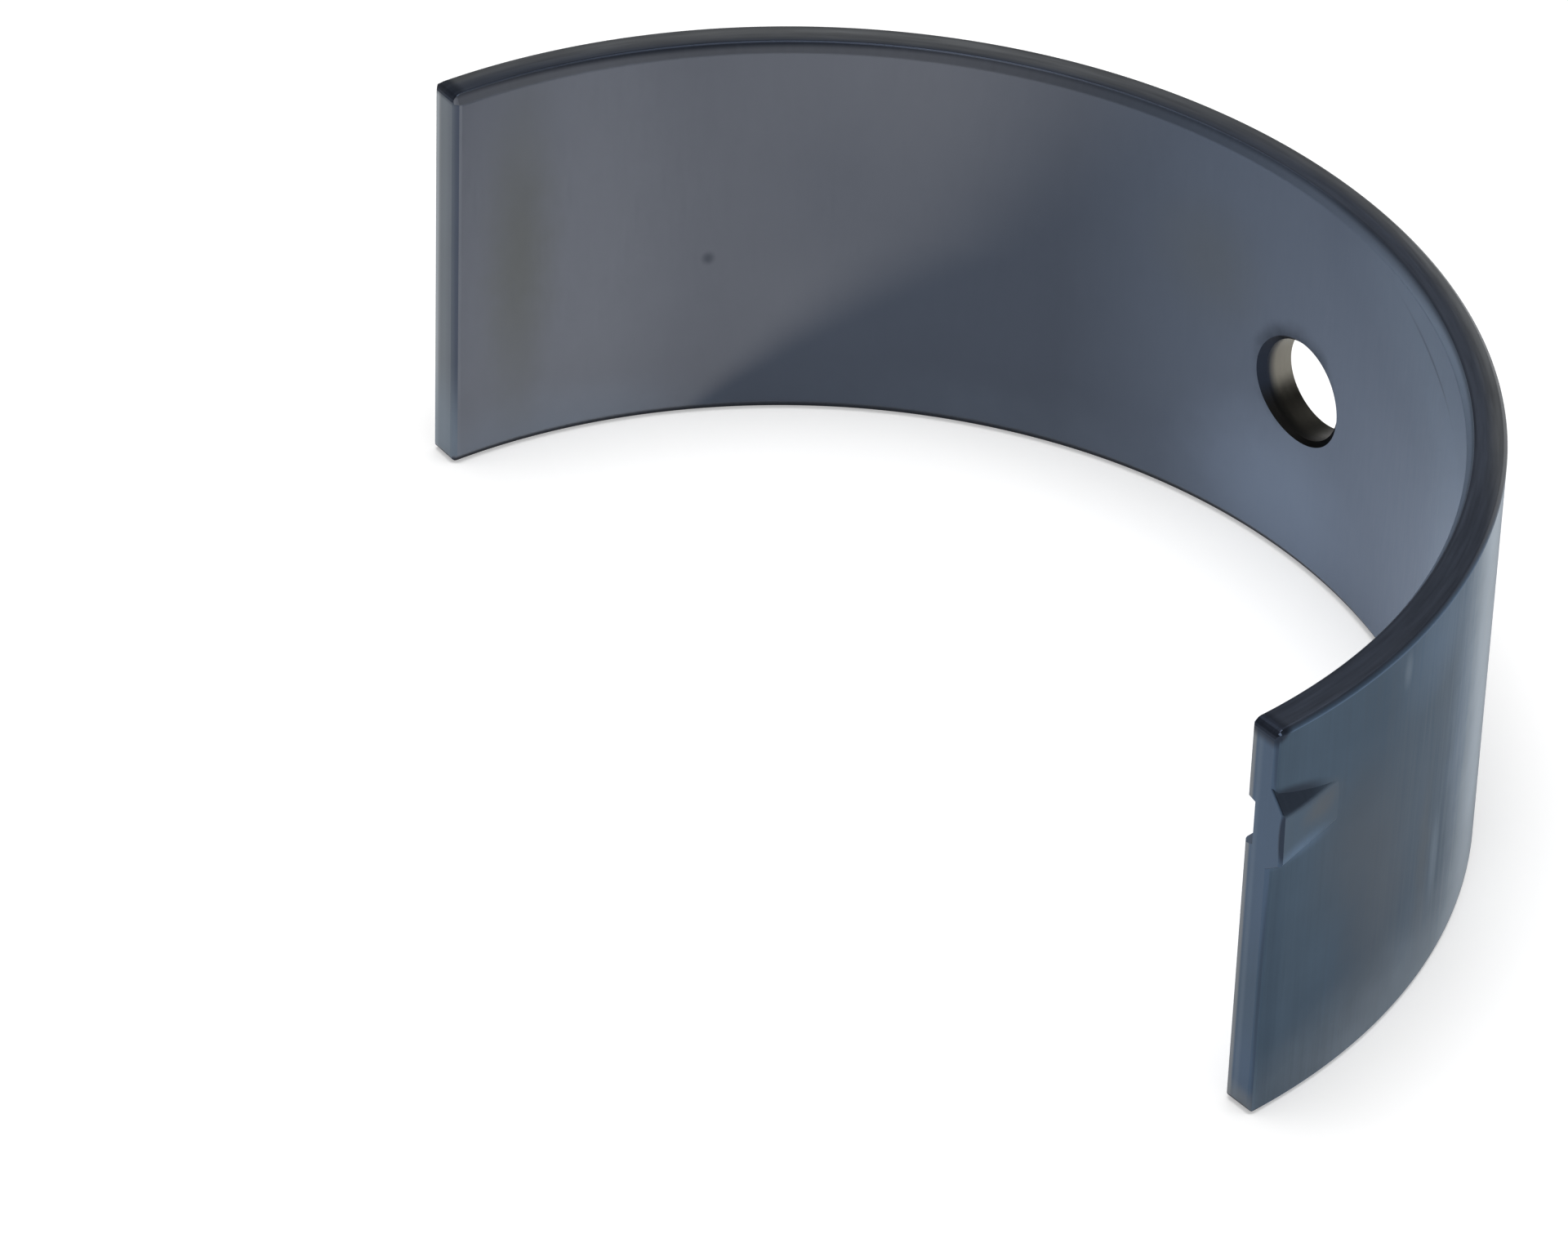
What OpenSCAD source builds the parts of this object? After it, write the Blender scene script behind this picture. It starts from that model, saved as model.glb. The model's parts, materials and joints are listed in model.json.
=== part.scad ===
// Half shell of a thin-wall engine bearing: a strip rolled to just under half a turn, with an
// oil hole at its crown and a locating tang pressed out of the wall at one joint face.
// +Z lies along the bearing axis, +Y points to the crown and +X to the end with the tang.
// The origin is on the axis of the running surface, at the middle of the shell's width.

/* [Shell] */
// Diameter of the housing bore that the shell is pressed into
housing_bore = 60; // [40:0.5:90]
// Width of the shell along the bearing axis
shell_width = 21; // [14:0.5:40]
// Thickness of the wall
wall = 1.8; // [1.4:0.1:3]
// How much wider than its bore the loose shell springs open
free_spread = 1.3; // [0.2:0.1:2.5]

/* [Edges] */
// Radial size of the inner chamfer on the two axial edges
rim_chamfer_radial = 0.3; // [0.1:0.05:0.5]
// Axial size of the inner chamfer on the two axial edges
rim_chamfer_axial = 0.5; // [0.1:0.05:1]
// Size of the inner chamfer at the two joint faces
joint_chamfer = 0.3; // [0.1:0.05:0.5]
// Size of the small chamfer on every outer edge
outer_break = 0.2; // [0.05:0.05:0.3]
// Size of the corner taken off where a joint face meets an axial edge
joint_corner = 0.4; // [0.1:0.05:0.8]

/* [Oil hole] */
// Diameter of the oil hole
oil_hole_d = 5.1; // [2:0.1:8]
// How far the oil hole lies below the middle of the width
oil_hole_drop = 0.8; // [-2:0.1:2]
// Size of the countersink round the hole's inner edge
oil_hole_countersink = 0.2; // [0.05:0.05:0.5]

/* [Locating tang] */
// Distance from the upper axial edge to the middle of the tang's foot
tang_inset = 5.2; // [4:0.1:8]
// Height of the tang above the shell's back, at the joint face
tang_rise = 0.75; // [0.4:0.05:1.2]
// Length of the tang along the shell's back
tang_run = 4.2; // [2.5:0.1:6]
// Width of the tang's foot at the joint face
tang_foot = 4.1; // [3.4:0.1:5]
// Width of the tang's crest at the joint face
tang_crest = 2.6; // [1.6:0.1:3.2]
// Width of the tang's foot where it runs out on the back
tang_tip = 2.2; // [1:0.1:3]
// How far the crest is set off from the foot, away from the upper edge; the run-out is set
// off twice as far
tang_lean = 0.2; // [0:0.05:0.4]
// Depth, at the joint face, of the pocket that the press leaves behind the tang
pocket_depth = 0.75; // [0.4:0.05:0.9]
// Length of that pocket along the running surface
pocket_run = 3.6; // [2:0.1:5]
// Width of that pocket in the running surface
pocket_width = 2.8; // [2.4:0.1:4]
// Width of that pocket at its floor
pocket_floor = 2.3; // [1.2:0.1:2.4]

/* [Hidden] */
$fn = 180;

// Overlap of a cut with the space outside the solid
over = 0.5;
// How deep the tang is rooted in the wall
tang_root = 0.3;

// The rolled length is kept, so a shell that springs open spans less than half a turn
outer_r = (housing_bore + free_spread) / 2;
inner_r = outer_r - wall;
half_arc = 90 * (housing_bore - wall) / (2 * outer_r - wall);
end_angle = 90 - half_arc;
half_width = shell_width / 2;
oil_hole_r = oil_hole_d / 2;
tang_z = half_width - tang_inset;

// Section of the rolled strip, with radius along X and the bearing axis along Y
module strip_section() {
    polygon([
        [inner_r + rim_chamfer_radial, -half_width],
        [outer_r - outer_break, -half_width],
        [outer_r, -half_width + outer_break],
        [outer_r, half_width - outer_break],
        [outer_r - outer_break, half_width],
        [inner_r + rim_chamfer_radial, half_width],
        [inner_r, half_width - rim_chamfer_axial],
        [inner_r, -half_width + rim_chamfer_axial]
    ]);
}

module rolled_strip() {
    rotate([0, 0, end_angle])
        rotate_extrude(angle = 2 * half_arc)
            strip_section();
}

// Cuts the 45 degree chamfer of a joint face's edge at one radius: side is -1 for an inner
// edge and 1 for an outer one
module joint_edge_cut(edge_r, size, side) {
    reach = size + over;
    translate([0, 0, -half_width - over])
        linear_extrude(shell_width + 2 * over)
            polygon([
                [edge_r + side * over, -over],
                [edge_r - side * reach, -over],
                [edge_r + side * over, reach]
            ]);
}

module joint_edge_cuts() {
    for (end = [0, 1])
        mirror([end, 0, 0])
            rotate([0, 0, end_angle]) {
                joint_edge_cut(inner_r, joint_chamfer, -1);
                joint_edge_cut(outer_r, outer_break, 1);
            }
}

// Takes off the upper and lower corner of each joint face, along the wall's thickness
module joint_corner_cuts() {
    reach = joint_corner + over;
    for (end = [0, 1], side = [0, 1])
        mirror([end, 0, 0])
            mirror([0, 0, side])
                rotate([0, 0, end_angle])
                    translate([inner_r - over, 0, half_width])
                        rotate([90, 0, 90])
                            linear_extrude(wall + 2 * over)
                                polygon([[-over, over], [-over, -reach], [reach, over]]);
}

// Point at a distance along a surface from the tang's joint face, given as [along, height, z]
function on_arc(p, surface_r) =
    let (r = surface_r + p[1], angle = end_angle + p[0] / surface_r * 180 / PI)
    [r * cos(angle), r * sin(angle), p[2]];

// Point of the foot, carried on past the surface along its line from the crest
function rooted(foot, crest, rise) = foot + (foot - crest) * tang_root / rise;

// Wedge that a press tool leaves: full height at the joint face, running out along the arc.
// Widths are [foot, crest, tip] and middles are the heights of their middles.
module pressed_wedge(surface_r, rise, run, start, widths, middles) {
    half = widths / 2;
    foot = [for (s = [-1, 1]) on_arc([start, 0, middles[0] + s * half[0]], surface_r)];
    crest = [for (s = [-1, 1]) on_arc([start, rise, middles[1] + s * half[1]], surface_r)];
    tip = [for (s = [-1, 1]) on_arc([run, 0, middles[2] + s * half[2]], surface_r)];
    polyhedron(
        points = concat(
            [for (i = [0, 1]) rooted(foot[i], crest[i], rise)],
            [for (i = [0, 1]) rooted(tip[i], crest[i], rise)],
            crest
        ),
        faces = [[0, 2, 3, 1], [0, 1, 5, 4], [4, 5, 3, 2], [0, 4, 2], [1, 3, 5]]
    );
}

module tang() {
    difference() {
        pressed_wedge(
            outer_r, tang_rise, tang_run, 0,
            [tang_foot, tang_crest, tang_tip],
            [tang_z, tang_z - tang_lean, tang_z - 2 * tang_lean]
        );
        rotate([0, 0, end_angle])
            joint_edge_cut(outer_r + tang_rise, outer_break, 1);
    }
}

// The wedge starts outside the joint face, and is as much deeper there
module tang_pocket() {
    pocket_z = tang_z - tang_lean;
    start_depth = pocket_depth * (pocket_run + over) / pocket_run;
    pressed_wedge(
        inner_r, start_depth, pocket_run, -over,
        [pocket_width, pocket_floor, pocket_floor],
        [pocket_z, pocket_z, pocket_z]
    );
}

// Drilled hole with the countersink on the running surface
module oil_hole() {
    translate([0, inner_r, -oil_hole_drop])
        rotate([-90, 0, 0]) {
            translate([0, 0, -wall])
                cylinder(r = oil_hole_r, h = 3 * wall);
            translate([0, 0, -over])
                cylinder(
                    r1 = oil_hole_r + oil_hole_countersink + over,
                    r2 = oil_hole_r,
                    h = oil_hole_countersink + over
                );
        }
}

module bearing_shell() {
    color("slategray")
        difference() {
            union() {
                difference() {
                    rolled_strip();
                    joint_edge_cuts();
                    joint_corner_cuts();
                }
                tang();
            }
            tang_pocket();
            oil_hole();
        }
}

bearing_shell();
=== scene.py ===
from collections import namedtuple
import json
import math

import bmesh
import bpy
from mathutils import Matrix, Vector


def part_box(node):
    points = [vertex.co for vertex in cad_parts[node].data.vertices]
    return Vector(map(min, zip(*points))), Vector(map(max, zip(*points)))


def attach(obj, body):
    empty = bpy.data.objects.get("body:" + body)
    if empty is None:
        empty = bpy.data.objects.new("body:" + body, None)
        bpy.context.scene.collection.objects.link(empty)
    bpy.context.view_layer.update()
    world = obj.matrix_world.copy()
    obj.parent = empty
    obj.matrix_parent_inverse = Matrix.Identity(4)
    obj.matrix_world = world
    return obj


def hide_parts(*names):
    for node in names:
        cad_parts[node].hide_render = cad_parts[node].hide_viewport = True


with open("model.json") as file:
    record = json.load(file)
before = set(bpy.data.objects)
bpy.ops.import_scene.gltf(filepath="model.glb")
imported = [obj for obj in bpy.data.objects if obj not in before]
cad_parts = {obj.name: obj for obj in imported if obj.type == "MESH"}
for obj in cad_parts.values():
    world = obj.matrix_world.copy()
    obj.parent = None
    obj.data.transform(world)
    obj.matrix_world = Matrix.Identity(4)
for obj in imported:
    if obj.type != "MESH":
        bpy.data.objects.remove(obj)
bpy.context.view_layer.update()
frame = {"record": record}

bl_info = {
    "name": "Engine bearing shell",
    "version": (1, 0, 0),
    "blender": (4, 5, 0),
    "location": "View3D > Sidebar > Bearing",
    "description": "Builds a half shell of a thin-wall engine bearing with its worn finishes",
    "category": "Object",
}

# The frame: the solid's box and the seats that its record states
NODE = "bearing_shell"
BODY = "root"
MM = 0.001
LOW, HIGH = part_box(NODE)
MOUNTS = {mount["name"]: mount for mount in frame["record"]["mounts"]}
OUTER_R = HIGH.y
INNER_R = MOUNTS["journal_seat"]["dims"]["r_mm"] * MM
HOLE_R = MOUNTS["oil_hole"]["dims"]["r_mm"] * MM
HOLE_Z = MOUNTS["oil_hole"]["pos_m"][2]
HALF_WIDTH = HIGH.z
JOINT_CHAMFER = 0.3 * MM
# The box's lowest points are where the inner chamfer meets the joint faces
END_ANGLE = math.asin(LOW.y / (INNER_R + JOINT_CHAMFER))
ARC_MM = (INNER_R + OUTER_R) / 2 / MM

# Modelling: how far a cut and a wedge reach past a surface, the distance and the angle within
# which points and faces are merged, the angle of a crisp edge, and the rings of a rounded end
CUT_OVER = 0.5 * MM
PRESS_ROOT = 0.3 * MM
MERGE = 0.002 * MM
FLAT_ANGLE = math.radians(1)
SHARP_ANGLE = math.radians(5)
END_RINGS = 6

# Slots of the five finishes
RUNNING, BACK, EDGE, JOINT, HOLE = range(5)

# Cosines past which a face counts as facing a direction, and how high a joint face reaches in Y
FACING = 0.5
FACING_UP = 0.2
FACING_OUT = 0.9
JOINT_ZONE = 2 * MM

# Patches: size and reach of the waves in their outlines, and the size below which they have none
WAVE_MM = 5 / 3
WAVE_REACH_MM = 0.6
FINE_MARK_MM = 1

# Grain: size and share of the clouds over it, the usual range of its noise without and with them,
# and the strength of its relief
CLOUD_MM = 4
CLOUD_SHARE = 0.6
GRAIN_RANGE = (0.3, 0.7)
CLOUDED_RANGE = (0.5, 1.1)
RELIEF_STRENGTH = 0.6

# Border of the running surface's zone of painted shade: its place at half height in degrees, its
# lean along the arc for each mm of height, what is added to that below half height, its soft half
# width in mm, and what each mm of height adds to that
BORDER_ANGLE = 130
BORDER_LEAN = 0.6
BORDER_LOW_LEAN = 0.61
BORDER_SOFT_MM = 4.4
BORDER_SPREAD = 0.36

# Stage, in metres and watts, with the width of the camera's frame
FLOOR_REACH = 3.0
SOFTBOX_SIDE = 0.5
SOFTBOX_HEIGHT = 0.8
SOFTBOX_POWER = 5.0
FRAME_WIDTH_MM = 36
CLIP_START = 0.01

# Light that the floor adds for the eye and in metal, the light of the walls and of the room above
# them, and the rise of the line of sight from which and to which one fades into the other
FLOOR_TO_EYE = 0.4
FLOOR_IN_METAL = 0.15
WALL_LIGHT = 0.9
ROOM_LIGHT = 0.22
WALL_TOP = (0.05, 0.35)

# Soft patch of colour. A place is a middle and a half size: along the arc in degrees, above half
# height in mm and out from the running surface in mm, or all of it. Amount is the colour's share
# in the middle, fade the share of the half size in which it fades out, and turn is in degrees.
ALL = (0, 1000)
Patch = namedtuple("Patch", "colour amount fade arc height depth turn", defaults=(ALL, ALL, ALL, 0))

# Sockets that give a place on the rolled strip in mm: the three together, and one by one
Rolled = namedtuple("Rolled", "vector arc height radius")


def length(name, description, millimetres):
    """Length property with its default in millimetres."""
    return bpy.props.FloatProperty(
        name=name, description=description, default=millimetres * MM, unit="LENGTH", precision=5
    )


def linear(value):
    """Linear colour, with alpha, of an sRGB hex value."""
    channels = [int(value[i:i + 2], 16) / 255 for i in (1, 3, 5)]
    return [c / 12.92 if c <= 0.04045 else ((c + 0.055) / 1.055) ** 2.4 for c in channels] + [1.0]


def colour(name, description, value):
    """Colour property with its default as an sRGB hex value."""
    return bpy.props.FloatVectorProperty(
        name=name, description=description, default=linear(value), size=4, subtype="COLOR",
        min=0.0, max=1.0,
    )


class BearingSizes(bpy.types.PropertyGroup):
    """Edge, hole and tang sizes of the shell."""

    rim_chamfer_radial: length("Rim chamfer, radial", "Radial size of the inner rim chamfer", 0.3)
    rim_chamfer_axial: length("Rim chamfer, axial", "Axial size of the inner rim chamfer", 0.5)
    joint_chamfer: length("Joint chamfer", "Inner chamfer at the joint faces", JOINT_CHAMFER / MM)
    outer_break: length("Outer break", "Small chamfer on every outer edge", 0.2)
    joint_corner: length("Joint corner", "Rounding where a joint face meets an axial edge", 0.5)
    edge_round: length("Edge round", "Radius that handling leaves on every edge", 0.05)
    hole_countersink: length("Countersink", "Countersink of the oil hole's inner edge", 0.2)
    tang_inset: length("Tang inset", "From the upper edge to the middle of the tang's foot", 5.2)
    tang_rise: length("Tang rise", "Height of the tang above the back", 0.75)
    tang_run: length("Tang run", "Length of the tang along the back", 4.2)
    tang_foot: length("Tang foot", "Width of the tang's foot at the joint face", 4.1)
    tang_crest: length("Tang crest", "Width of the tang's crest at the joint face", 2.6)
    tang_tip: length("Tang tip", "Width of the tang where it runs out", 2.2)
    tang_lean: length("Tang lean", "Offset of the crest away from the upper edge", 0.2)
    tang_round: length("Tang round", "Rounding of the tang's pressed edges", 0.1)
    pocket_depth: length("Pocket depth", "Depth of the press pocket behind the tang", 0.75)
    pocket_run: length("Pocket run", "Length of that pocket", 3.6)
    pocket_width: length("Pocket width", "Width of that pocket in the running surface", 2.8)
    pocket_floor: length("Pocket floor", "Width of that pocket at its floor", 2.3)
    arc_steps: bpy.props.IntProperty(
        name="Arc steps", description="Faces along the rolled arc", default=352, min=32
    )
    hole_steps: bpy.props.IntProperty(
        name="Hole steps", description="Faces round the oil hole", default=128, min=16
    )


class BearingView(bpy.types.PropertyGroup):
    """Where the photograph was taken from."""

    azimuth: bpy.props.FloatProperty(
        name="Azimuth", description="Turn of the camera round the shell",
        default=math.radians(51.462), subtype="ANGLE",
    )
    elevation: bpy.props.FloatProperty(
        name="Elevation", description="Height of the camera above the floor",
        default=math.radians(36.780), subtype="ANGLE",
    )
    roll: bpy.props.FloatProperty(
        name="Roll", description="Turn of the camera about its own line of sight",
        default=math.radians(1.947), subtype="ANGLE",
    )
    distance: length("Distance", "From the camera to the point it looks at", 411.2)
    target: bpy.props.FloatVectorProperty(
        name="Target", description="Point on the floor that the camera looks at",
        default=(-9.519 * MM, 6.163 * MM, -HALF_WIDTH), subtype="XYZ", unit="LENGTH",
    )
    lens: bpy.props.FloatProperty(
        name="Lens", description="Focal length on the camera's frame", default=201.7
    )


class BearingColours(bpy.types.PropertyGroup):
    """Colours of the shell's finishes."""

    # The darkened zone that this colour stays outside of is painted shade
    overlay: colour("Overlay", "Running surface away from the painted shade zone", "#6e727b")
    # Painted shade for the zone past the slanting border, and a stain beside the oil hole
    overlay_shade_and_stain: colour("Overlay, darkened", "Running surface beside the oil hole", "#505764")
    # Bluer towards the tang end, and lighter there as painted light
    overlay_blue_and_light: colour("Overlay, bluish", "Running surface at the tang end", "#7f8da2")
    # Painted light at the plain joint
    overlay_painted_light: colour("Overlay, pale", "Running surface at the plain joint", "#797d86")
    # Painted light at the tang end and along the foot
    overlay_painted_blue_light: colour("Overlay, pale blue", "Palest part of the tang end", "#a3b4c9")
    overlay_oiled: colour("Overlay, oiled", "Old oil on the running surface", "#66685f")
    # Real specks and scratches, and painted shade along the rims, edges, oil hole and tang
    overlay_mark_and_shade: colour("Overlay, marked", "Specks, scratches and dark edges", "#2f3541")
    back: colour("Back", "Rolled steel back", "#5e6064")
    back_blue: colour("Back, blued", "Blued steel at the tang end and in patches", "#4a5a6a")
    # Painted shade in the bend beside the tang
    back_deep_blue_and_shade: colour("Back, deep blue", "Deep blue in the bend beside the tang", "#26374a")
    back_brown: colour("Back, browned", "Brown tint of old oil on the back", "#625c55")
    back_dark: colour("Back, dark", "Dark band along the lower edge", "#3c4550")
    back_pale: colour("Back, pale", "Pale scuffs on the back", "#7d8a97")
    # Painted light where the back turns away, on the tang's lower flank and along the tang end's
    # outer edge
    back_painted_light: colour("Back, pale blue", "Pale blue where the back turns away", "#5f748c")
    # Painted sheen where the back turns away, and paler along the lower edge
    back_pale_and_sheen: colour("Back, pale and sheen", "Painted sheen band and lower edge of the back", "#b4bdc6")
    back_film: colour("Back, film", "Tint that the blued film gives at a low angle", "#e7edf2")
    copper: colour("Copper", "Copper flash at the back's edges", "#8b6f63")
    edge_steel: colour("Edge, steel", "Cut edge of the steel back", "#707377")
    edge_pale: colour("Edge, pale", "Bright places of the cut edge", "#888b8e")
    edge_lining: colour("Edge, lining", "Cut edge of the lining", "#505765")
    joint: colour("Joint face", "Broached joint face", "#6e757c")
    joint_blue: colour("Joint face, blued", "Broached joint face at the tang end", "#506176")
    hole: colour("Hole wall", "Drilled wall of the oil hole", "#8a877e")
    # Painted shade on the lower wall of the oil hole
    hole_painted_shade: colour("Hole wall, dark", "Painted shade on the lower wall of the oil hole", "#2a2926")


def arc_mm(degrees):
    """Arc length along the middle of the wall, from +X, in millimetres."""
    return math.radians(degrees) * ARC_MM


def wall_mm(depth):
    """Radius in millimetres at a depth in the wall, from the running surface."""
    return INNER_R / MM + depth


def add_node(tree, kind, settings=None):
    """Adds a node, sets its attributes and sockets, and links a socket given another's output."""
    node = tree.nodes.new(kind)
    for key, value in (settings or {}).items():
        if isinstance(value, bpy.types.NodeSocket):
            tree.links.new(value, node.inputs[key])
        elif isinstance(key, int) or key in node.inputs:
            node.inputs[key].default_value = value
        else:
            setattr(node, key, value)
    return node


def metal(name):
    """Bare metal, and the place on the rolled strip that its patterns read."""
    material = bpy.data.materials.new(name)
    material.use_nodes = True
    tree = material.node_tree
    tree.nodes["Principled BSDF"].inputs["Metallic"].default_value = 1.0
    place = add_node(tree, "ShaderNodeTexCoord").outputs["Object"]
    axes = add_node(tree, "ShaderNodeSeparateXYZ", {0: place}).outputs
    turn = add_node(tree, "ShaderNodeMath", {"operation": "ARCTAN2", 0: axes["Y"], 1: axes["X"]})
    arc = add_node(tree, "ShaderNodeMath", {
        "operation": "MULTIPLY", 0: turn.outputs[0], 1: ARC_MM,
    })
    height = add_node(tree, "ShaderNodeMath", {"operation": "DIVIDE", 0: axes["Z"], 1: MM})
    plan = add_node(tree, "ShaderNodeVectorMath", {
        "operation": "MULTIPLY", 0: place, 1: (1 / MM, 1 / MM, 0),
    })
    radius = add_node(tree, "ShaderNodeVectorMath", {"operation": "LENGTH", 0: plan.outputs[0]})
    parts = (arc.outputs[0], height.outputs[0], radius.outputs["Value"])
    vector = add_node(tree, "ShaderNodeCombineXYZ", dict(zip("XYZ", parts)))
    return material, Rolled(vector.outputs[0], *parts)


def two_tone(tree, along, start, end, first, second, fall="LINEAR", amount=1.0):
    """Colour that turns from one into a share of another between two values along a socket."""
    share = add_node(tree, "ShaderNodeMapRange", {
        "interpolation_type": fall, "Value": along, "From Min": start, "From Max": end,
        "To Min": 0.0, "To Max": amount,
    })
    mix = add_node(tree, "ShaderNodeMix", {
        "data_type": "RGBA", 0: share.outputs[0], 6: first, 7: second,
    })
    return mix.outputs[2]


def tint(tree, under, rolled, patches):
    """Lays soft patches over a colour. All but the fine marks have wavy outlines."""
    wave = add_node(tree, "ShaderNodeTexNoise", {
        "Vector": rolled.vector, "Scale": 1 / WAVE_MM, "Detail": 3.0,
    })
    shift = add_node(tree, "ShaderNodeVectorMath", {
        "operation": "MULTIPLY_ADD", 0: wave.outputs["Color"],
        1: (2 * WAVE_REACH_MM, 2 * WAVE_REACH_MM, 0), 2: (-WAVE_REACH_MM, -WAVE_REACH_MM, 0),
    })
    wavy = add_node(tree, "ShaderNodeVectorMath", {
        "operation": "ADD", 0: rolled.vector, 1: shift.outputs[0],
    })
    for patch in patches:
        (angle, wide), (z, high), (depth, deep) = patch.arc, patch.height, patch.depth
        is_fine = min(arc_mm(wide), high) <= FINE_MARK_MM
        spot = add_node(tree, "ShaderNodeMapping", {
            "vector_type": "TEXTURE", "Vector": rolled.vector if is_fine else wavy.outputs[0],
            "Location": (arc_mm(angle), z, wall_mm(depth)),
            "Rotation": (0, 0, math.radians(patch.turn)), "Scale": (arc_mm(wide), high, deep),
        })
        reach = add_node(tree, "ShaderNodeVectorMath", {"operation": "LENGTH", 0: spot.outputs[0]})
        under = two_tone(
            tree, reach.outputs["Value"], 1.0, 1.0 - patch.fade, under, patch.colour,
            "SMOOTHSTEP", patch.amount,
        )
    return under


def grained(tree, under, rolled, spacing, contrast, roughness, relief):
    """Ends a finish with its tool lines: their spacing along arc, height and radius in mm."""
    # Real tool lines lie a few hundredths of a millimetre apart, too fine to show, so every
    # finish draws them about a fifth of a millimetre apart, as coarse as they need to show
    stretch = add_node(tree, "ShaderNodeMapping", {
        "Vector": rolled.vector, "Scale": [1 / s for s in spacing],
    })
    grain = add_node(tree, "ShaderNodeTexNoise", {
        "Vector": stretch.outputs[0], "Scale": 1.0, "Detail": 4.0, "Roughness": 0.6,
    })
    cloud = add_node(tree, "ShaderNodeTexNoise", {
        "Vector": rolled.vector, "Scale": 1 / CLOUD_MM, "Detail": 4.0,
    })
    clouded = add_node(tree, "ShaderNodeMath", {
        "operation": "MULTIPLY_ADD", 0: cloud.outputs["Fac"], 1: CLOUD_SHARE,
        2: grain.outputs["Fac"],
    })
    level = add_node(tree, "ShaderNodeMapRange", {
        "Value": clouded.outputs[0], "From Min": CLOUDED_RANGE[0], "From Max": CLOUDED_RANGE[1],
        "To Min": 1.0 - contrast, "To Max": 1.0 + contrast,
    })
    toned = add_node(tree, "ShaderNodeVectorMath", {
        "operation": "SCALE", 0: under, "Scale": level.outputs[0],
    })
    rough = add_node(tree, "ShaderNodeMapRange", {
        "Value": grain.outputs["Fac"], "From Min": GRAIN_RANGE[0], "From Max": GRAIN_RANGE[1],
        "To Min": roughness[0], "To Max": roughness[1],
    })
    bump = add_node(tree, "ShaderNodeBump", {
        "Height": grain.outputs["Fac"], "Strength": RELIEF_STRENGTH, "Distance": relief * MM,
    })
    shader = tree.nodes["Principled BSDF"]
    tree.links.new(toned.outputs[0], shader.inputs["Base Color"])
    tree.links.new(rough.outputs[0], shader.inputs["Roughness"])
    tree.links.new(bump.outputs[0], shader.inputs["Normal"])


def slanting_border(tree, rolled):
    """How far a place lies past the border of the painted shade zone, in soft half widths."""
    low = add_node(tree, "ShaderNodeMath", {"operation": "MINIMUM", 0: rolled.height, 1: 0.0})
    lean = add_node(tree, "ShaderNodeMath", {
        "operation": "MULTIPLY_ADD", 0: rolled.height, 1: BORDER_LEAN, 2: rolled.arc,
    })
    slant = add_node(tree, "ShaderNodeMath", {
        "operation": "MULTIPLY_ADD", 0: low.outputs[0], 1: BORDER_LOW_LEAN, 2: lean.outputs[0],
    })
    past = add_node(tree, "ShaderNodeMath", {
        "operation": "SUBTRACT", 0: slant.outputs[0], 1: arc_mm(BORDER_ANGLE),
    })
    soft = add_node(tree, "ShaderNodeMath", {
        "operation": "MULTIPLY_ADD", 0: rolled.height, 1: BORDER_SPREAD, 2: BORDER_SOFT_MM,
    })
    border = add_node(tree, "ShaderNodeMath", {
        "operation": "DIVIDE", 0: past.outputs[0], 1: soft.outputs[0],
    })
    return border.outputs[0]


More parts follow.
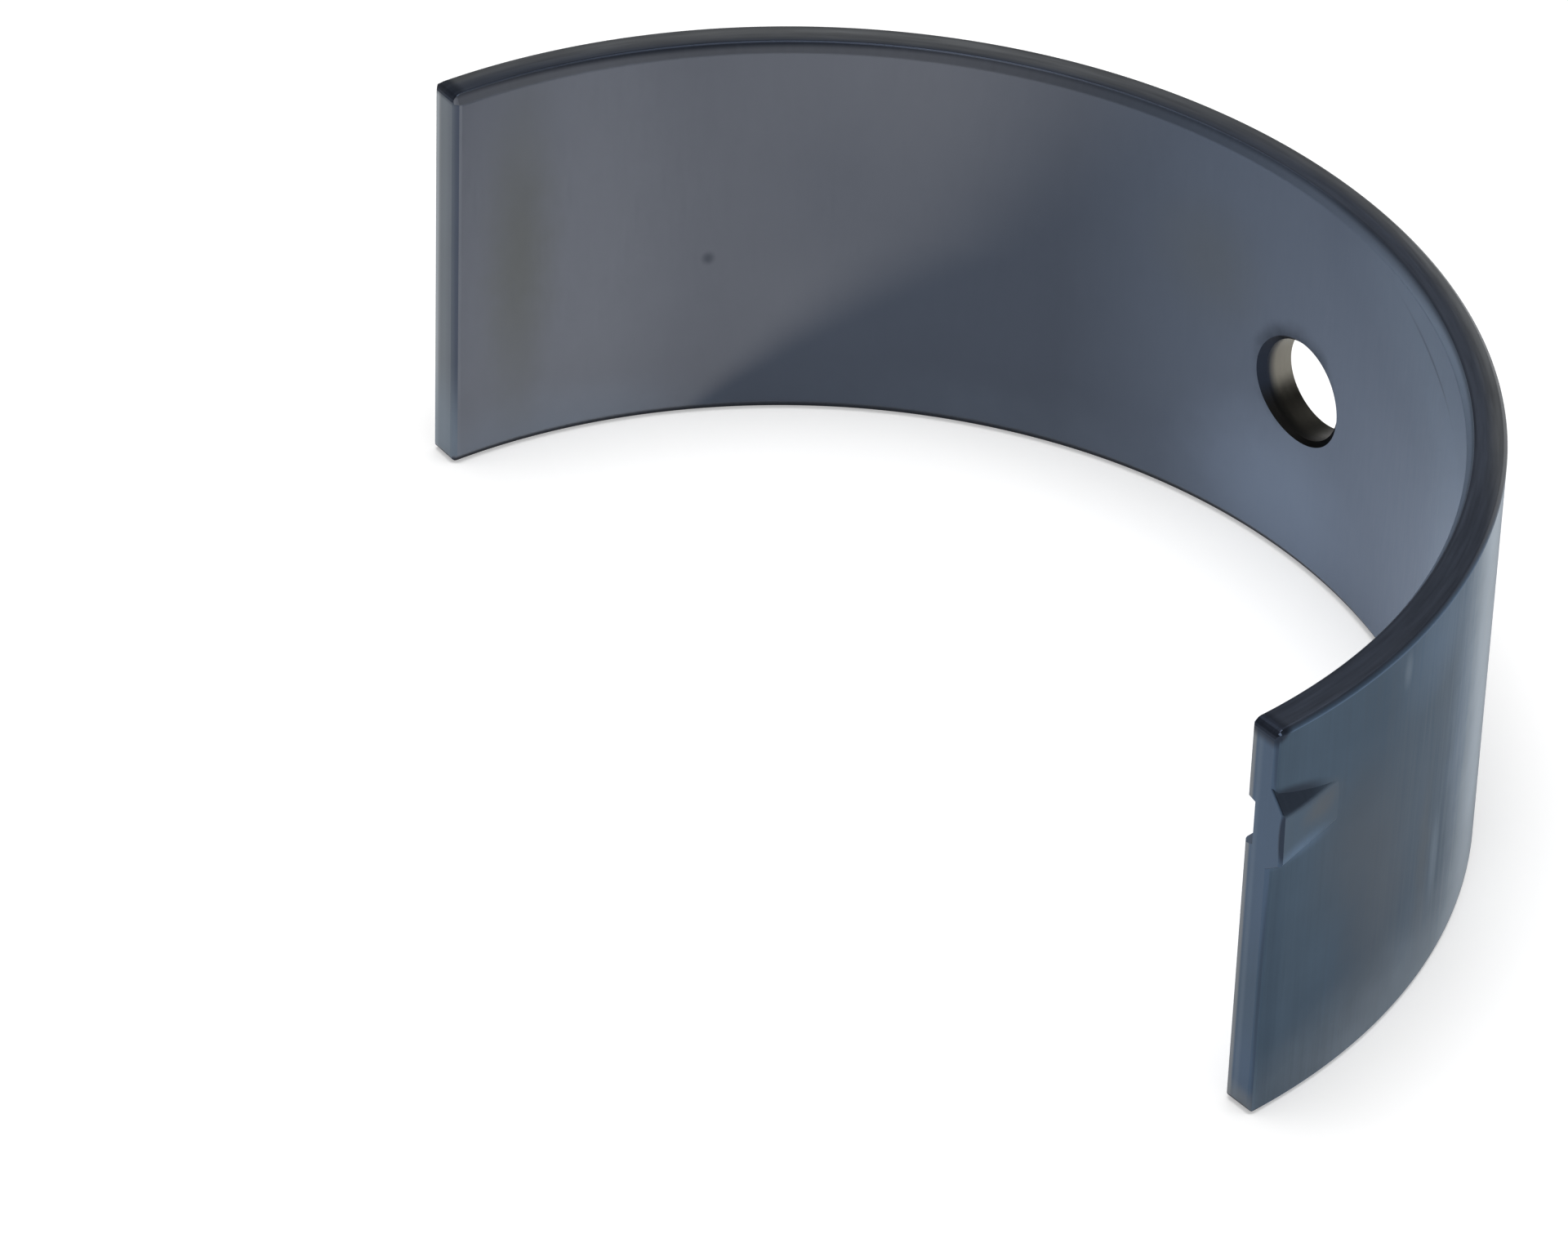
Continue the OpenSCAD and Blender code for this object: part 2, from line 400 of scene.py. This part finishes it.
def running_finish(colours):
    """Satin overlay: gives the eye a soft grey-blue sheen, with painted shade past a slanting
    border.
    """
    material, rolled = metal("satin_bearing_overlay")
    tree = material.node_tree
    border = slanting_border(tree, rolled)
    # Painted shade past the slanting border
    ground = two_tone(
        tree, border, 1.0, -1.0, colours.overlay, colours.overlay_shade_and_stain, "SMOOTHSTEP"
    )
    # Bluer towards the tang end, and lighter there as painted light
    grey_to, blue_and_light_from = arc_mm(118), arc_mm(60)
    ground = two_tone(tree, rolled.arc, grey_to, blue_and_light_from, ground, colours.overlay_blue_and_light)
    under = tint(tree, ground, rolled, (
        # Painted light: pale plain joint, and paler blue at the tang end
        Patch(colours.overlay_painted_light, 1.0, 0.75, arc=(168, 17), height=(0, 40)),
        Patch(colours.overlay_painted_blue_light, 0.6, 0.9, arc=(62, 26), height=(11, 9)),
        Patch(colours.overlay_painted_blue_light, 0.85, 1.0, arc=(44, 28), height=(3, 14)),
        Patch(colours.overlay_blue_and_light, 0.8, 0.9, arc=(91, 17), height=(-8, 7)),
        # Stain beside the oil hole
        Patch(colours.overlay_shade_and_stain, 0.15, 1.0, arc=(102, 9), height=(3.5, 5)),
        Patch(colours.overlay_oiled, 0.2, 1.0, arc=(102, 9), height=(3.5, 5)),
        # Painted light along the foot, painted shade in the middle, and old oil near the plain joint
        Patch(colours.overlay_painted_blue_light, 0.22, 0.9, arc=(168, 24), height=(-11.5, 5)),
        Patch(colours.overlay_painted_blue_light, 0.1, 0.9, arc=(115, 45), height=(-11.5, 5)),
        Patch(colours.overlay_shade_and_stain, 0.22, 1.0, arc=(138, 14), height=(2, 8)),
        Patch(colours.overlay_oiled, 0.5, 1.0, arc=(171, 5.5), height=(0.5, 13)),
        # Speck, painted shade in a ring round the oil hole, and scratch
        Patch(colours.overlay_mark_and_shade, 0.5, 0.9, arc=(152.1, 0.9), height=(-1.5, 0.5)),
        Patch(colours.overlay_mark_and_shade, 0.75, 0.4, arc=(90.5, 6.4), height=(-0.4, 3.4)),
        Patch(colours.overlay_mark_and_shade, 0.4, 0.9, arc=(67, 10), height=(8.3, 0.16), turn=12),
        # Painted shade: dark lines along the upper and lower rims
        Patch(colours.overlay_mark_and_shade, 0.35, 0.6, arc=(75, 18), height=(10.6, 0.6)),
        Patch(colours.overlay_mark_and_shade, 0.8, 0.5, arc=(152, 34), height=(10.7, 0.55)),
        Patch(colours.overlay_mark_and_shade, 0.6, 0.5, height=(10.75, 0.5)),
        Patch(colours.overlay_mark_and_shade, 0.9, 0.4, height=(-10.65, 0.65)),
    ))
    grained(
        tree, under, rolled, spacing=(0.2, 2.5, 1), contrast=0.03, roughness=(0.42, 0.5),
        relief=0.002,
    )
    return material


def back_finish(colours):
    """Rolled steel back: gives the eye fine lines along the axis, blued and browned patches, and
    painted shade, light and sheen.
    """
    material, rolled = metal("rolled_blued_steel")
    tree = material.node_tree
    tree.nodes["Principled BSDF"].inputs["Specular Tint"].default_value = colours.back_film
    grey_to, blued_from = arc_mm(85), arc_mm(45)
    ground = two_tone(
        tree, rolled.arc, grey_to, blued_from, colours.back, colours.back_blue, "SMOOTHSTEP"
    )
    under = tint(tree, ground, rolled, (
        # Deep blue painted shade in the bend, then painted sheen and light where the back turns away
        Patch(colours.back_deep_blue_and_shade, 0.26, 0.7, arc=(22, 17)),
        Patch(colours.back_pale_and_sheen, 0.3, 1.0, arc=(60, 26)),
        Patch(colours.back_pale_and_sheen, 0.8, 1.0, arc=(38.5, 10.5)),
        Patch(colours.back_painted_light, 0.4, 0.9, arc=(31.5, 4.5), height=(2, 9)),
        Patch(colours.back_painted_light, 0.45, 0.9, arc=(25, 11), height=(9.5, 4.5)),
        Patch(colours.back_pale_and_sheen, 0.55, 0.9, arc=(34, 14), height=(-11.3, 3.5)),
        Patch(colours.back_pale, 0.4, 0.9, arc=(27, 1.3), height=(-4, 3.5)),
        # Old oil, scuffs, a darker strip and a paler lower edge between the tang and that band
        Patch(colours.back_deep_blue_and_shade, 0.2, 0.8, arc=(3.2, 1.8), height=(-3, 9)),
        Patch(colours.back_brown, 0.22, 1.0, arc=(12, 7), height=(2, 6)),
        Patch(colours.back_pale_and_sheen, 0.42, 0.9, arc=(22, 30), height=(-11.5, 7)),
        Patch(colours.back, 0.45, 1.0, arc=(17, 8), height=(-2, 11)),
        Patch(colours.back_brown, 0.4, 0.9, arc=(7.5, 3.5), height=(5.3, 1.3)),
        Patch(colours.back_brown, 0.25, 0.9, arc=(24.5, 2), height=(-3, 7)),
        Patch(colours.back_pale, 0.4, 0.9, arc=(18.7, 0.9), height=(9.1, 1.3)),
        # Tang's upper flank in painted shade, its lower flank in painted light, the corner above it
        # in painted shade
        Patch(colours.overlay_mark_and_shade, 0.85, 0.6, arc=(3.8, 5.5), height=(6.75, 0.72), turn=-12),
        Patch(colours.back_painted_light, 0.9, 0.9, arc=(4.2, 6), height=(3.75, 0.9)),
        Patch(colours.overlay_mark_and_shade, 0.9, 0.5, arc=(2, 1.5), height=(10.4, 0.6)),
        # Brown, dark and blue stains round the rest of the back, and darker along its lower edge
        Patch(colours.back_brown, 0.5, 0.9, arc=(80, 30), height=(2, 7), turn=5),
        Patch(colours.back_dark, 0.6, 1.0, arc=(108, 15), height=(-4, 6.5), turn=-10),
        Patch(colours.back_brown, 0.6, 1.0, arc=(132, 22), height=(3, 8), turn=8),
        Patch(colours.back_blue, 0.6, 1.0, arc=(158, 9), height=(-3, 9)),
        Patch(colours.back_dark, 0.8, 0.6, arc=(115, 70), height=(-11, 3)),
        # Worn strip and copper line at the plain joint, and one more scuff
        Patch(colours.back_pale, 0.4, 0.8, arc=(172, 3), height=(2, 12)),
        Patch(colours.copper, 0.5, 0.8, arc=(176, 1.2), height=(3, 8)),
        Patch(colours.back_pale, 0.4, 0.9, arc=(55, 4), height=(1, 6), turn=12),
    ))
    grained(
        tree, under, rolled, spacing=(0.25, 25 / 3, 1), contrast=0.16, roughness=(0.32, 0.44),
        relief=0.003,
    )
    return material


def edge_finish(colours):
    """Turned edge: gives the eye a dark two-tone rim, lining inside and steel outside, with painted
    shade lines.
    """
    material, rolled = metal("turned_two_metal_edge")
    tree = material.node_tree
    lining_to, steel_from = wall_mm(0.75), wall_mm(1.45)
    ground = two_tone(
        tree, rolled.radius, lining_to, steel_from, colours.edge_lining, colours.edge_steel,
        "SMOOTHSTEP",
    )
    under = tint(tree, ground, rolled, (
        # Bright steel on the plain half, and a bright line towards the tang
        Patch(colours.edge_steel, 0.9, 0.7, arc=(135, 50), depth=(0.9, 0.55)),
        Patch(colours.edge_pale, 0.8, 0.8, arc=(140, 45), depth=(1.2, 0.35)),
        Patch(colours.edge_pale, 0.9, 0.8, arc=(72, 24), depth=(1.55, 0.35)),
        # Painted shade over the tang end, with painted light along its outer line
        Patch(colours.edge_lining, 0.95, 0.4, arc=(15, 36), depth=(1.15, 1.0)),
        Patch(colours.overlay_mark_and_shade, 0.35, 0.4, arc=(15, 36), depth=(1.15, 1.0)),
        Patch(colours.back_painted_light, 0.9, 0.5, arc=(15, 36), depth=(1.9, 0.3)),
        # Painted shade: dark outer line, dark inner lines and dark ends
        Patch(colours.overlay_mark_and_shade, 0.5, 0.8, arc=(140, 45), depth=(1.85, 0.3)),
        Patch(colours.overlay_mark_and_shade, 0.45, 0.5, depth=(0.27, 0.2)),
        Patch(colours.overlay_mark_and_shade, 0.8, 0.5, arc=(158, 32), depth=(0.27, 0.2)),
        Patch(colours.overlay_mark_and_shade, 0.9, 0.5, arc=(2, 1.8)),
        Patch(colours.overlay_mark_and_shade, 0.8, 0.5, arc=(178, 1.8)),
    ))
    grained(
        tree, under, rolled, spacing=(10 / 3, 1, 1 / 6), contrast=0.1, roughness=(0.36, 0.46),
        relief=0.002,
    )
    return material


def joint_finish(colours):
    """Broached joint face: gives the eye a pale flat strip with a darker lining edge and lines of
    painted shade.
    """
    material, rolled = metal("broached_joint_face")
    tree = material.node_tree
    tang_end, plain_end = (2, 3), (178, 3)
    blued_to, grey_from = arc_mm(60), arc_mm(120)
    steel = two_tone(
        tree, rolled.arc, blued_to, grey_from, colours.joint_blue, colours.joint
    )
    lining_to, steel_from = wall_mm(0.1), wall_mm(0.35)
    ground = two_tone(
        tree, rolled.radius, lining_to, steel_from, colours.edge_lining, steel, "SMOOTHSTEP"
    )
    under = tint(tree, ground, rolled, (
        # Face at the tang: blued middle, pale foot and pale lines
        Patch(colours.back_blue, 0.6, 0.8, arc=tang_end, height=(-4, 4)),
        Patch(colours.joint, 0.8, 0.8, arc=tang_end, height=(-10.3, 1.6)),
        Patch(colours.back_pale, 0.2, 0.9, arc=tang_end, depth=(0.8, 0.25)),
        Patch(colours.edge_pale, 0.8, 0.8, arc=tang_end, depth=(0.39, 0.22)),
        # Painted shade: its dark outer lines below and above the tang, dark top and the tang's dark
        # crest
        Patch(colours.overlay_mark_and_shade, 0.4, 0.5, arc=tang_end, height=(-4, 8), depth=(1.77, 0.16)),
        Patch(colours.overlay_mark_and_shade, 0.4, 0.5, arc=tang_end, height=(9.2, 2.2), depth=(1.77, 0.16)),
        Patch(colours.overlay_mark_and_shade, 0.85, 0.6, arc=tang_end, height=(10.4, 0.9)),
        Patch(colours.overlay_mark_and_shade, 0.8, 0.4, arc=(2.2, 0.5), height=(5.3, 1.7), depth=(2.45, 0.25)),
        # Plain face: bright outer half, darker inner half, dark outer line and dark top of painted
        # shade, pale foot
        Patch(colours.edge_pale, 1.0, 0.8, arc=plain_end, depth=(1.55, 0.45)),
        Patch(colours.back_pale_and_sheen, 0.45, 0.9, arc=plain_end, depth=(1.48, 0.2)),
        Patch(colours.edge_lining, 0.35, 0.9, arc=plain_end, depth=(0.35, 0.5)),
        Patch(colours.overlay_mark_and_shade, 0.5, 0.8, arc=plain_end, depth=(1.85, 0.2)),
        Patch(colours.back_pale, 0.6, 0.9, arc=plain_end, height=(-9.5, 5)),
        Patch(colours.overlay_mark_and_shade, 0.8, 0.6, arc=plain_end, height=(10.5, 0.6)),
    ))
    grained(
        tree, under, rolled, spacing=(1, 5, 0.2), contrast=0.08, roughness=(0.34, 0.44),
        relief=0.002,
    )
    return material


def hole_finish(colours):
    """Drilled wall: gives the eye a warm grey ring with fine turned lines, and painted shade."""
    material, rolled = metal("drilled_steel")
    tree = material.node_tree
    # Darker towards the running surface: the lining there, darkened further as painted shade
    lining_to, steel_from = wall_mm(0.4), wall_mm(0.85)
    ground = two_tone(
        tree, rolled.radius, steel_from, lining_to, colours.hole, colours.overlay_mark_and_shade
    )
    under = tint(tree, ground, rolled, (
        # Painted shade at the foot of the hole
        Patch(colours.hole_painted_shade, 0.9, 0.5, arc=(90, 7), height=(-3.4, 2.6)),
    ))
    grained(
        tree, under, rolled, spacing=(1, 1, 0.2), contrast=0.1, roughness=(0.36, 0.46),
        relief=0.002,
    )
    return material


def finish_of(face, sizes):
    """Slot of the finish that a face carries, from where it lies and which way it faces."""
    middle, normal = face.calc_center_median(), face.normal
    radial = Vector((middle.x, middle.y, 0)).normalized()
    along = Vector((-radial.y, radial.x, 0))
    from_hole = math.hypot(middle.x, middle.z - HOLE_Z)
    at_hole = middle.y > INNER_R / 2 and from_hole < HOLE_R + sizes.hole_countersink
    at_rim = abs(middle.z) > HALF_WIDTH - sizes.rim_chamfer_axial
    at_joint = middle.y < JOINT_ZONE
    if at_hole and abs(normal.y) < FACING_OUT:
        return HOLE
    if at_rim and abs(normal.z) > FACING_UP:
        return RUNNING if normal.dot(radial) < -FACING else EDGE
    if at_joint and abs(normal.dot(along)) > FACING:
        return JOINT
    return RUNNING if normal.dot(radial) < 0 else BACK


def on_arc(radius, angle, z):
    """Point at a radius, an angle from +X and a height."""
    return Vector((radius * math.cos(angle), radius * math.sin(angle), z))


def strip_section(sizes):
    """Corners of the strip's section, as radius and height."""
    inner_flat = INNER_R + sizes.rim_chamfer_radial
    outer_flat = OUTER_R - sizes.outer_break
    side = HALF_WIDTH - sizes.outer_break
    running = HALF_WIDTH - sizes.rim_chamfer_axial
    return [
        (inner_flat, -HALF_WIDTH), (outer_flat, -HALF_WIDTH), (OUTER_R, -side), (OUTER_R, side),
        (outer_flat, HALF_WIDTH), (inner_flat, HALF_WIDTH), (INNER_R, running), (INNER_R, -running),
    ]


def rounded_end(bm, sizes, end):
    """Carries the strip on to a joint face, ring by ring, with its chamfers and round corners."""
    corner = sizes.joint_corner
    left = [corner * (1 - math.sin(math.pi / 2 * k / END_RINGS)) for k in range(END_RINGS + 1)]
    for before, after in zip(left, left[1:]):
        rim = [e for e in bm.edges if e.is_boundary and e.verts[0].co.x * end > 0]
        drawn = bmesh.ops.extrude_edge_only(bm, edges=rim)["geom"]
        ring = [v for v in drawn if isinstance(v, bmesh.types.BMVert)]
        turn = Matrix.Rotation(-end * (before - after) / INNER_R, 3, "Z")
        bmesh.ops.rotate(bm, verts=ring, cent=(0, 0, 0), matrix=turn)
        inner = INNER_R + max(0, sizes.joint_chamfer - after)
        outer = OUTER_R - max(0, sizes.outer_break - after)
        top = HALF_WIDTH - corner + math.sqrt(corner ** 2 - (corner - after) ** 2)
        for v in ring:
            r = v.co.xy.length
            v.co.xy *= min(max(r, inner), outer) / r
            v.co.z = min(max(v.co.z, -top), top)


def rolled_strip(bm, sizes):
    """Spins the strip's section to the loose shell's arc and closes it with the joint faces."""
    start = END_ANGLE + sizes.joint_corner / INNER_R
    corners = [bm.verts.new(on_arc(r, start, z)) for r, z in strip_section(sizes)]
    bm.faces.new(corners)
    bmesh.ops.bevel(
        bm, geom=corners, offset=sizes.edge_round, offset_type="OFFSET", affect="VERTICES",
        segments=2, profile=0.5, material=-1,
    )
    bmesh.ops.delete(bm, geom=bm.faces[:], context="FACES_ONLY")
    bmesh.ops.spin(
        bm, geom=bm.verts[:] + bm.edges[:], cent=(0, 0, 0), axis=(0, 0, 1),
        angle=math.pi - 2 * start, steps=sizes.arc_steps,
    )
    for end in (1, -1):
        rounded_end(bm, sizes, end)
    bmesh.ops.remove_doubles(bm, verts=bm.verts, dist=MERGE)
    bmesh.ops.dissolve_degenerate(bm, dist=MERGE, edges=bm.edges)
    bmesh.ops.holes_fill(bm, edges=[e for e in bm.edges if e.is_boundary], sides=0)
    bmesh.ops.recalc_face_normals(bm, faces=bm.faces)


def rooted(point, crest, rise):
    """Point carried on past the surface along its line from the crest."""
    return point + (point - crest) * PRESS_ROOT / rise


def pressed_wedge(bm, surface_r, rise, run, start, widths, middles):
    """Wedge of a press tool: full height at the joint face, running out along the arc. Widths and
    middles are those of its foot, crest and tip."""
    first, last = END_ANGLE + start / surface_r, END_ANGLE + run / surface_r
    for s in (-0.5, 0.5):
        foot = on_arc(surface_r, first, middles[0] + s * widths[0])
        crest = on_arc(surface_r + rise, first, middles[1] + s * widths[1])
        tip = on_arc(surface_r, last, middles[2] + s * widths[2])
        for point in (crest, rooted(foot, crest, rise), rooted(tip, crest, rise)):
            bm.verts.new(point)
    bmesh.ops.convex_hull(bm, input=bm.verts)
    bmesh.ops.dissolve_limit(bm, angle_limit=FLAT_ANGLE, verts=bm.verts, edges=bm.edges)
    bmesh.ops.recalc_face_normals(bm, faces=bm.faces)


def tang_wedge(bm, sizes):
    """The tang that stands out of the back, with its pressed edges rounded."""
    middle = HALF_WIDTH - sizes.tang_inset
    pressed_wedge(
        bm, OUTER_R, sizes.tang_rise, sizes.tang_run, 0,
        (sizes.tang_foot, sizes.tang_crest, sizes.tang_tip),
        (middle, middle - sizes.tang_lean, middle - 2 * sizes.tang_lean),
    )
    # The pressed edges are the ones that come out through the back
    radii = {e: sorted(v.co.xy.length for v in e.verts) for e in bm.edges}
    flanks = [e for e, (low, high) in radii.items() if low < OUTER_R < high]
    bmesh.ops.bevel(
        bm, geom=flanks, offset=sizes.tang_round, offset_type="OFFSET", affect="EDGES",
        segments=3, profile=0.5, material=-1,
    )
    # The small break on the crest lies across the joint face's edge
    out, along = on_arc(1, END_ANGLE, 0), on_arc(1, END_ANGLE + math.pi / 2, 0)
    bmesh.ops.bisect_plane(
        bm, geom=bm.verts[:] + bm.edges[:] + bm.faces[:], clear_outer=True,
        plane_co=out * (OUTER_R + sizes.tang_rise - sizes.outer_break), plane_no=out - along,
    )
    bmesh.ops.holes_fill(bm, edges=[e for e in bm.edges if e.is_boundary], sides=0)
    bmesh.ops.recalc_face_normals(bm, faces=bm.faces)


def pocket_wedge(bm, sizes):
    """The pocket that the press leaves in the running surface. It starts outside the joint face,
    and is as much deeper there."""
    middle = HALF_WIDTH - sizes.tang_inset - sizes.tang_lean
    start_depth = sizes.pocket_depth * (1 + CUT_OVER / sizes.pocket_run)
    pressed_wedge(
        bm, INNER_R, start_depth, sizes.pocket_run, -CUT_OVER,
        (sizes.pocket_width, sizes.pocket_floor, sizes.pocket_floor), (middle,) * 3,
    )


def hole_drill(bm, sizes):
    """Drill and countersink in one turned form about the oil hole's axis."""
    wide = HOLE_R + sizes.hole_countersink + CUT_OVER
    section = [
        (0, INNER_R - CUT_OVER), (wide, INNER_R - CUT_OVER),
        (HOLE_R, INNER_R + sizes.hole_countersink), (HOLE_R, OUTER_R + CUT_OVER),
        (0, OUTER_R + CUT_OVER),
    ]
    points = [bm.verts.new((r, y, HOLE_Z)) for r, y in section]
    edges = [bm.edges.new(points[i:i + 2]) for i in range(len(points) - 1)]
    bmesh.ops.spin(
        bm, geom=points + edges, cent=(0, 0, HOLE_Z), axis=(0, 1, 0),
        angle=2 * math.pi, steps=sizes.hole_steps, use_merge=True,
    )
    bmesh.ops.remove_doubles(bm, verts=bm.verts, dist=MERGE)
    bmesh.ops.recalc_face_normals(bm, faces=bm.faces)


def mesh_object(name, build, *given):
    """Object at the origin whose mesh a builder fills from what it is given."""
    mesh = bpy.data.meshes.new(name)
    bm = bmesh.new()
    build(bm, *given)
    bm.to_mesh(mesh)
    bm.free()
    obj = bpy.data.objects.new(name, mesh)
    bpy.context.scene.collection.objects.link(obj)
    return obj


def combine(obj, tool, operation):
    """Applies a boolean with a tool object and removes the tool."""
    modifier = obj.modifiers.new(tool.name, "BOOLEAN")
    modifier.operation = operation
    modifier.object = tool
    modifier.solver = "EXACT"
    depsgraph = bpy.context.evaluated_depsgraph_get()
    mesh = bpy.data.meshes.new_from_object(obj.evaluated_get(depsgraph))
    if not mesh.polygons:
        raise RuntimeError(f"{tool.name} leaves nothing of {obj.name}")
    obj.modifiers.clear()
    obj.data = mesh
    bpy.data.objects.remove(tool)


def dress(shell, sizes, colours):
    """Gives each face its finish, and keeps the edges crisp."""
    shell.data.materials.clear()
    for finish in (running_finish, back_finish, edge_finish, joint_finish, hole_finish):
        shell.data.materials.append(finish(colours))
    bm = bmesh.new()
    bm.from_mesh(shell.data)
    for face in bm.faces:
        face.smooth = True
        face.material_index = finish_of(face, sizes)
    for edge in bm.edges:
        edge.smooth = edge.is_manifold and edge.calc_face_angle() < SHARP_ANGLE
    bm.to_mesh(shell.data)
    bm.free()


class BEARING_OT_half_shell(bpy.types.Operator):
    """Build the half shell with its oil hole, tang and finishes"""

    bl_idname = "bearing.half_shell"
    bl_label = "Half shell"

    def execute(self, context):
        sizes = context.scene.bearing_sizes
        shell = mesh_object("half_shell", rolled_strip, sizes)
        combine(shell, mesh_object("tang", tang_wedge, sizes), "UNION")
        combine(shell, mesh_object("pocket", pocket_wedge, sizes), "DIFFERENCE")
        combine(shell, mesh_object("drill", hole_drill, sizes), "DIFFERENCE")
        dress(shell, sizes, context.scene.bearing_colours)
        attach(shell, BODY)
        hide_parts(NODE)
        return {"FINISHED"}


def white_floor():
    """Matt white sweep: white to the eye and near white in metal, and it keeps the soft shadow."""
    material = bpy.data.materials.new("matt_white_sweep")
    material.use_nodes = True
    tree = material.node_tree
    tree.nodes.clear()
    diffuse = add_node(tree, "ShaderNodeBsdfDiffuse", {"Color": linear("#e8e8e8")})
    path = add_node(tree, "ShaderNodeLightPath").outputs
    seen = add_node(tree, "ShaderNodeMath", {
        "operation": "ADD", 0: path["Is Camera Ray"], 1: path["Is Transmission Ray"],
    })
    eye = add_node(tree, "ShaderNodeMath", {
        "operation": "MULTIPLY", 0: seen.outputs[0], 1: FLOOR_TO_EYE,
    })
    sheen = add_node(tree, "ShaderNodeMath", {
        "operation": "MULTIPLY_ADD", 0: path["Is Glossy Ray"], 1: FLOOR_IN_METAL,
        2: eye.outputs[0],
    })
    glow = add_node(tree, "ShaderNodeEmission", {"Strength": sheen.outputs[0]})
    both = add_node(tree, "ShaderNodeAddShader", {0: diffuse.outputs[0], 1: glow.outputs[0]})
    add_node(tree, "ShaderNodeOutputMaterial", {"Surface": both.outputs[0]})
    return material


def studio_world():
    """White walls round the table up to a low height, and a dim room above them."""
    world = bpy.data.worlds.new("studio")
    world.use_nodes = True
    tree = world.node_tree
    tree.nodes.clear()
    place = add_node(tree, "ShaderNodeTexCoord").outputs["Generated"]
    rise = add_node(tree, "ShaderNodeSeparateXYZ", {0: place}).outputs["Z"]
    level = add_node(tree, "ShaderNodeMapRange", {
        "interpolation_type": "SMOOTHSTEP", "Value": rise, "From Min": WALL_TOP[0],
        "From Max": WALL_TOP[1], "To Min": WALL_LIGHT, "To Max": ROOM_LIGHT,
    })
    room = add_node(tree, "ShaderNodeBackground", {
        "Color": linear("#ffffff"), "Strength": level.outputs[0],
    })
    add_node(tree, "ShaderNodeOutputWorld", {"Surface": room.outputs[0]})
    return world


def floor_sheet(bm):
    """Flat square on which the shell stands."""
    bmesh.ops.create_grid(bm, x_segments=1, y_segments=1, size=FLOOR_REACH)
    bmesh.ops.translate(bm, verts=bm.verts, vec=(0, 0, -HALF_WIDTH))


def look_from(view):
    """Camera's place and axes for the photograph's view."""
    back = Vector((
        math.sin(view.azimuth) * math.cos(view.elevation),
        -math.cos(view.azimuth) * math.cos(view.elevation),
        math.sin(view.elevation),
    ))
    level = Vector((math.cos(view.azimuth), math.sin(view.azimuth), 0))
    right = Matrix.Rotation(view.roll, 3, back) @ level
    up = back.cross(right)
    place = Vector(view.target) + back * view.distance
    axes = Matrix((right, up, back)).transposed().to_4x4()
    return Matrix.Translation(place) @ axes


def overhead_softbox():
    """Square lamp straight above the shell."""
    lamp = bpy.data.lights.new("overhead_softbox", "AREA")
    lamp.size = SOFTBOX_SIDE
    lamp.energy = SOFTBOX_POWER
    softbox = bpy.data.objects.new("overhead_softbox", lamp)
    softbox.location = (0, 0, SOFTBOX_HEIGHT)
    return softbox


def photo_camera(view):
    """Camera in the place that the photograph was taken from."""
    camera = bpy.data.cameras.new("camera")
    camera.sensor_width = FRAME_WIDTH_MM
    camera.lens = view.lens
    camera.clip_start = CLIP_START
    holder = bpy.data.objects.new("camera", camera)
    holder.matrix_world = look_from(view)
    return holder


class BEARING_OT_stage(bpy.types.Operator):
    """Set the floor, the light and the photograph's camera"""

    bl_idname = "bearing.stage"
    bl_label = "Stage"

    def execute(self, context):
        scene = context.scene
        floor = mesh_object("floor", floor_sheet)
        floor.data.materials.append(white_floor())
        scene.world = studio_world()
        scene.collection.objects.link(overhead_softbox())
        scene.camera = photo_camera(scene.bearing_view)
        scene.collection.objects.link(scene.camera)
        scene.view_settings.view_transform = "Standard"
        return {"FINISHED"}


class BEARING_PT_panel(bpy.types.Panel):
    """Lists the bearing shell's steps"""

    bl_idname = "BEARING_PT_panel"
    bl_label = "Bearing shell"
    bl_space_type = "VIEW_3D"
    bl_region_type = "UI"
    bl_category = "Bearing"

    def draw(self, context):
        for operator in STEPS:
            self.layout.operator(operator.bl_idname)


STEPS = (BEARING_OT_half_shell, BEARING_OT_stage)
CLASSES = (BearingSizes, BearingView, BearingColours) + STEPS + (BEARING_PT_panel,)


def register():
    """Registers the classes and hangs the property groups on the scene."""
    for cls in CLASSES:
        bpy.utils.register_class(cls)
    bpy.types.Scene.bearing_sizes = bpy.props.PointerProperty(type=BearingSizes)
    bpy.types.Scene.bearing_view = bpy.props.PointerProperty(type=BearingView)
    bpy.types.Scene.bearing_colours = bpy.props.PointerProperty(type=BearingColours)


def unregister():
    """Takes all that away again, in the opposite order."""
    del bpy.types.Scene.bearing_colours
    del bpy.types.Scene.bearing_view
    del bpy.types.Scene.bearing_sizes
    for cls in reversed(CLASSES):
        bpy.utils.unregister_class(cls)


def main():
    """Builds the shell and its stage."""
    register()
    bpy.ops.bearing.half_shell()
    bpy.ops.bearing.stage()


if __name__ == "__main__":
    main()
